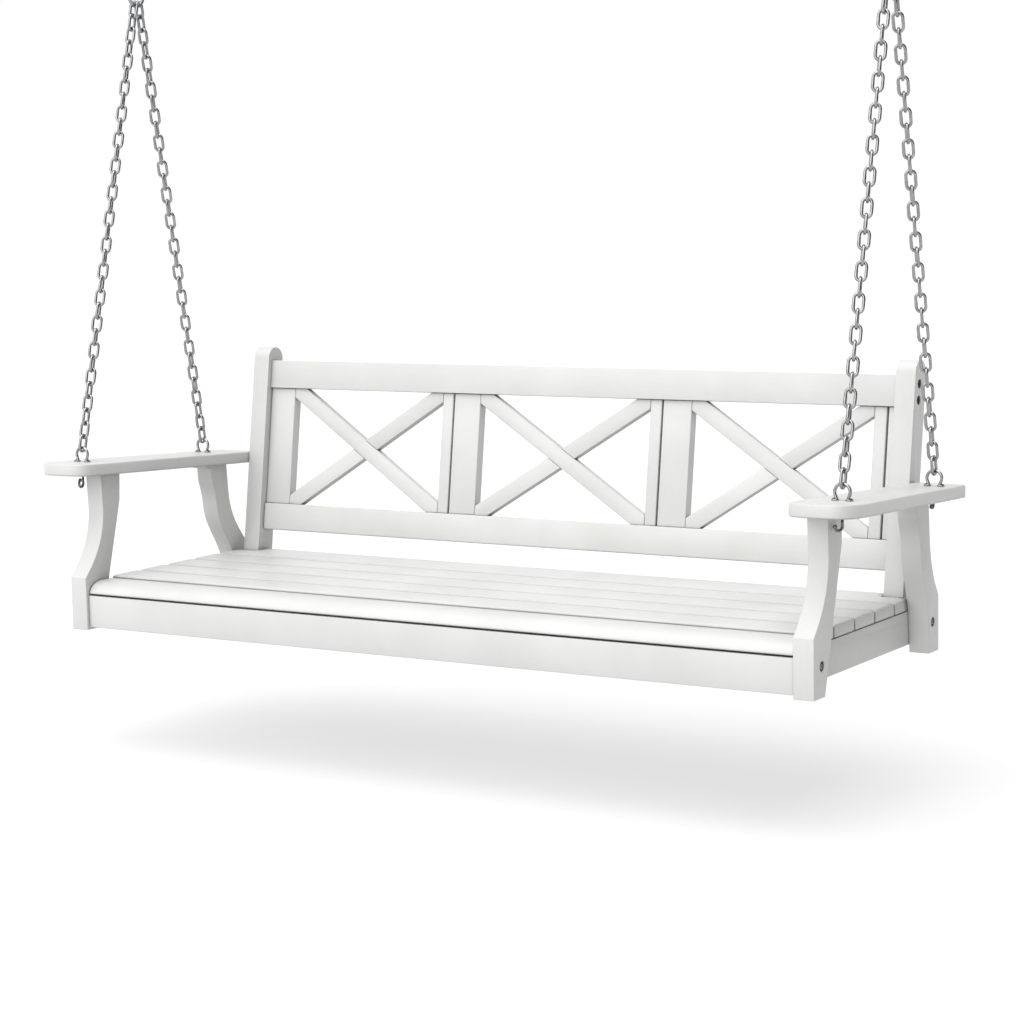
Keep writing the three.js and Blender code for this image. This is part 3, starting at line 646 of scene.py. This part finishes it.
def make_bow(place, word, materials):
    """An omega-shaped bow on two small screwed feet, where a chain hooks on."""
    name = f"chain_bow_{place}_{word}"
    low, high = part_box(name)
    y = (low.y + high.y) / 2 - BOW_FORWARD
    seat = Matrix.Translation(((low.x + high.x) / 2, y, low.z + 0.25 * MM))
    seat = seat @ Matrix.Rotation(-ARM_DROP, 4, "X")
    long, deep, thick = BOW_FOOT
    rise = high.z - low.z - 0.5 * MM
    middle = rise - WIRE / 2 - BOW_ROUND
    points = [Vector((-BOW_NECK, 0, thick * 0.4)), Vector((-BOW_NECK, 0, BOW_NECK_TOP))]
    for i in range(25):
        t = (math.pi + BOW_TURN) / 2 - BOW_TURN * i / 24
        points.append(Vector((BOW_ROUND * math.cos(t), 0, middle + BOW_ROUND * math.sin(t))))
    points += [Vector((BOW_NECK, 0, BOW_NECK_TOP)), Vector((BOW_NECK, 0, thick * 0.4))]
    bm = bmesh.new()
    tube(bm, [seat @ p for p in points], WIRE / 2, 14)
    for end in (-1, 1):
        foot = seat @ Matrix.Translation((end * BOW_FOOT_OUT, 0, 0))
        plate(bm, long, deep, thick, BOW_FOOT_ROUND, (), 0, foot)
    from_bmesh(name + "_steel", bm, materials["zinc"], "bench", "zinc", name)
    screws = bmesh.new()
    for end in (-1, 1):
        spot = seat @ Matrix.Translation((end * BOW_SCREW_OUT, 0, thick))
        screw_head(screws, spot, *BOW_SCREW)
    from_bmesh(name + "_screws", screws, materials["dark"], "bench", "dark_zinc")


HANG_STEM = 17 * MM
HANG_RADIUS = 7 * MM
HANG_WIRE = 5 * MM
HANG_THREADS = 18
HANG_TURN = {"left": math.radians(-81), "right": math.radians(-119)}  # which way the hooks curl
HANG_BEND = {"left": math.radians(245), "right": math.radians(180)}  # how far they curl
PEG_WIRE = 5.5 * MM
PEG_TIP = Vector((0, -9 * MM, -10 * MM))  # the middle of its end, from its root


def under_arm_spot(place, word):
    """The point on the armrest's underside below a bow."""
    bow_low, bow_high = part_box(f"chain_bow_{place}_{word}")
    return (bow_low.x + bow_high.x) / 2, (bow_low.y + bow_high.y) / 2 - BOW_FORWARD


def make_under_hook(word, materials):
    """A threaded stem under the armrest that curls into a hook with a ball end, below a washer."""
    name = "under_hook_" + word
    x, y = under_arm_spot("front", word)
    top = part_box(name)[1].z
    seat = Matrix.Translation((x, y, top)) @ Matrix.Rotation(HANG_TURN[word], 4, "Z")
    bm = bmesh.new()
    points, radii = [], []
    for i in range(HANG_THREADS + 1):
        points.append(Vector((0, 0, -1 * MM - 0.62 * HANG_STEM * i / HANG_THREADS)))
        radii.append(HANG_WIRE / 2 * (1 if i % 2 else 0.82))
    for i in range(23):
        t = HANG_BEND[word] * i / 22
        out = HANG_RADIUS - HANG_RADIUS * math.cos(t)
        points.append(Vector((out, 0, -HANG_STEM - HANG_RADIUS * math.sin(t))))
        radii.append(HANG_WIRE / 2)
    tube(bm, [seat @ p for p in points], radii, 14)
    tip = Matrix.Translation(seat @ points[-1])
    bmesh.ops.create_uvsphere(bm, u_segments=18, v_segments=12, radius=HANG_WIRE * 0.7, matrix=tip)
    washer = (5.2 * MM, 0), (5.2 * MM, 1 * MM), (3.6 * MM, 1.5 * MM)
    lathe(bm, washer, seat @ Matrix.Rotation(math.pi, 4, "X"), 24)
    from_bmesh(name + "_steel", bm, materials["hook"], "bench", "dark_zinc", name)


def make_under_peg(word, materials):
    """A short peg bent forwards under the armrest, with a thick collared end."""
    name = "under_peg_" + word
    x, y = under_arm_spot("rear", word)
    place = Matrix.Translation((x, y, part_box(name)[1].z))
    path = [Vector((0, 0, -0.6 * MM))]
    for i in range(1, 9):
        t = i / 8
        path.append(Vector((0, PEG_TIP.y * t ** 1.6, PEG_TIP.z * (0.12 + 0.88 * t))))
    bm = bmesh.new()
    tube(bm, [place @ p for p in path], PEG_WIRE / 2, 14)
    turn = Vector((0, 0, 1)).rotation_difference(PEG_TIP.normalized()).to_matrix().to_4x4()
    profile = (
        (3.4 * MM, -3.5 * MM), (4.25 * MM, -2.8 * MM), (4.25 * MM, -1 * MM), (3.5 * MM, -0.6 * MM),
        (3.5 * MM, 0.4 * MM), (4.25 * MM, 0.8 * MM), (4.25 * MM, 2.8 * MM), (3.4 * MM, 3.5 * MM),
    )
    lathe(bm, profile, place @ Matrix.Translation(PEG_TIP) @ turn, 24)
    washer = (4.6 * MM, 0.3 * MM), (4.6 * MM, 1.2 * MM), (3.2 * MM, 1.7 * MM)
    lathe(bm, washer, place @ Matrix.Rotation(math.pi, 4, "X"), 24)
    from_bmesh(name + "_steel", bm, materials["hook"], "bench", "dark_zinc", name)


SHANK_RADIUS = 4 * MM
HEAD_DEEP = 4 * MM
SOCKET_RADIUS = 2.4 * MM  # to the corners of its hexagon


def make_bolt(name, side, materials, head):
    """A domed bolt with a hexagon socket on a near-black washer, sunk in its counterbore: the washer's dark
    is partly its own tone and partly painted shade of the counterbore.

    head names the dome's material."""
    low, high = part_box(name)
    outer = high.x if side > 0 else low.x
    inner = low.x if side > 0 else high.x
    middle = (low + high) / 2
    place = Matrix.Translation((outer, middle.y, middle.z)) @ Matrix.Rotation(side * math.pi / 2, 4, "Y")
    radius = (high.y - low.y) / 2
    length = abs(outer - inner)

    def hexagon(t):
        return SOCKET_RADIUS * math.cos(math.pi / 6) / math.cos((t % (math.pi / 3)) - math.pi / 6)

    bm = bmesh.new()
    # the washer's near black is partly its own tone and partly painted shade of the counterbore
    profile = (
        (SHANK_RADIUS, -length), (SHANK_RADIUS, -HEAD_DEEP), (radius, -HEAD_DEEP), (radius, -1.1 * MM),
        (radius * 0.95, -0.7 * MM), (4.1 * MM, -0.7 * MM), (3.9 * MM, -1.6 * MM),
    )
    lathe(bm, profile, place, 36)
    from_bmesh(name + "_shank", bm, materials["dark"], "bench", "dark_zinc", name)
    bm = bmesh.new()
    profile = (
        (3.9 * MM, -1.7 * MM), (3.9 * MM, -0.9 * MM), (3.5 * MM, -0.3 * MM), (2.8 * MM, 0),
        (hexagon, -0.1 * MM), (hexagon, -1.9 * MM),
    )
    lathe(bm, profile, place, 36)
    from_bmesh(name + "_head", bm, materials[head], "bench", "dark_zinc")


# the light and dark tones of the metals, their least and most roughness, and how metallic they are
ZINC = ((0.50, 0.503, 0.51), (0.20, 0.203, 0.212), (0.14, 0.27))
HOOK_ZINC = ((0.30, 0.302, 0.306), (0.11, 0.112, 0.116), (0.2, 0.34))
# near black: the dark hardware's own tone, and on the bolt washers also painted shade of the counterbores
DARK_ZINC = ((0.02, 0.0203, 0.021), (0.01, 0.0102, 0.011), (0.55, 0.7), 0.2)


def make_hardware():
    """The steel: hooks, rings, chains, bows, pegs and bolts."""
    materials = {
        "zinc": metal("zinc", *ZINC),
        "hook": metal("hook_zinc", *HOOK_ZINC),
        "dark": metal("dark_zinc", *DARK_ZINC),
    }
    for word, side in SIDES:
        make_ceiling_hook(word, materials["zinc"])
        make_ring(word, materials["zinc"])
        make_under_hook(word, materials)
        make_under_peg(word, materials)
        for place, way in PLACES:
            make_chain(place, way, word, materials["zinc"])
            make_bow(place, word, materials)
            make_bolt(f"post_bolt_{place}_{word}", side, materials, "zinc")
        for height in ("lower", "upper"):
            make_bolt(f"rail_bolt_{height}_{word}", side, materials, "dark")


# ---- Stage
FLOOR_BELOW = 0.23  # the floor under the feet
FLOOR_SIZE = 60
FLOOR_TONES = ((0.315, 0.315, 0.315, 1), (0.325, 0.325, 0.325, 1))
FLOOR_GLOW = 0.57


def make_stage():
    """A pale floor that glows a little, as a lit white sweep does."""
    material, nodes, shader = new_material("floor")
    place = nodes.add("ShaderNodeTexCoord").outputs["Object"]
    tone = nodes.mix(nodes.noise(place, 3), *FLOOR_TONES)
    nodes.join(tone, shader.inputs["Base Color"])
    shader.inputs["Roughness"].default_value = 0.9
    shader.inputs["Specular IOR Level"].default_value = 0.1
    shader.inputs["Emission Color"].default_value = (1, 1, 1, 1)
    shader.inputs["Emission Strength"].default_value = FLOOR_GLOW
    bm = bmesh.new()
    bmesh.ops.create_grid(bm, x_segments=1, y_segments=1, size=FLOOR_SIZE / 2)
    mesh = bpy.data.meshes.new("floor")
    bm.to_mesh(mesh)
    bm.free()
    mesh.materials.append(material)
    floor = bpy.data.objects.new("floor", mesh)
    floor.location = (0, 0, FOOT_Z - FLOOR_BELOW)
    bpy.context.scene.collection.objects.link(floor)


# where the room's lights are seen from the swing, how far their edges reach, and how bright they are
ROOM = ((-0.54, 0.84, 0.1), -0.1, 0.75, 0.1, 1.02)
SOFTBOX = ((-0.2, -1, 0.85), 0.5, 0.92, 0, 2.3)
BACKDROP = (1.02, 1.02, 1.02)
LAMP_POWER = 1.6
LAMP_ANGLE = math.radians(50)
LAMP_FROM = (0.1, -0.15, 1)


def make_light():
    """A room that is white behind and dim at both sides, a softbox in front and a broad lamp overhead.

    The backdrop itself is seen white all round."""
    world = bpy.data.worlds.new("studio")
    bpy.context.scene.world = world
    world.use_nodes = True
    nodes = Nodes(world.node_tree)
    direction = nodes.add("ShaderNodeTexCoord").outputs["Generated"]

    def towards(way, start, end, dim, bright):
        """A brightness that rises from dim to bright towards a direction, as the cosine of the angle off it
        goes from start to end."""
        dot = nodes.add("ShaderNodeVectorMath", operation="DOT_PRODUCT")
        nodes.join(direction, dot.inputs[0])
        dot.inputs[1].default_value = Vector(way).normalized()
        ramp = nodes.add("ShaderNodeMapRange", interpolation_type="SMOOTHSTEP")
        ramp.inputs["From Min"].default_value = start
        ramp.inputs["From Max"].default_value = end
        ramp.inputs["To Min"].default_value = dim
        ramp.inputs["To Max"].default_value = bright
        nodes.join(dot.outputs["Value"], ramp.inputs["Value"])
        return ramp.outputs["Result"]

    room = towards(*ROOM)
    softbox = towards(*SOFTBOX)
    background = nodes.add("ShaderNodeBackground")
    background.inputs["Color"].default_value = (1, 1, 1, 1)
    seen = nodes.add("ShaderNodeLightPath").outputs["Is Camera Ray"]
    strength = nodes.mix(seen, nodes.math("ADD", room, softbox), (*BACKDROP, 1))
    nodes.join(strength, background.inputs["Strength"])
    output = nodes.add("ShaderNodeOutputWorld")
    nodes.join(background.outputs[0], output.inputs["Surface"])
    lamp = bpy.data.lights.new("overhead", "SUN")
    lamp.energy = LAMP_POWER
    lamp.angle = LAMP_ANGLE
    overhead = bpy.data.objects.new("overhead", lamp)
    overhead.rotation_mode = "QUATERNION"
    overhead.rotation_quaternion = Vector(LAMP_FROM).to_track_quat("Z", "Y")
    bpy.context.scene.collection.objects.link(overhead)
    bpy.context.scene.view_settings.view_transform = "Standard"


make_camera()
make_boards()
make_hardware()
make_stage()
make_light()
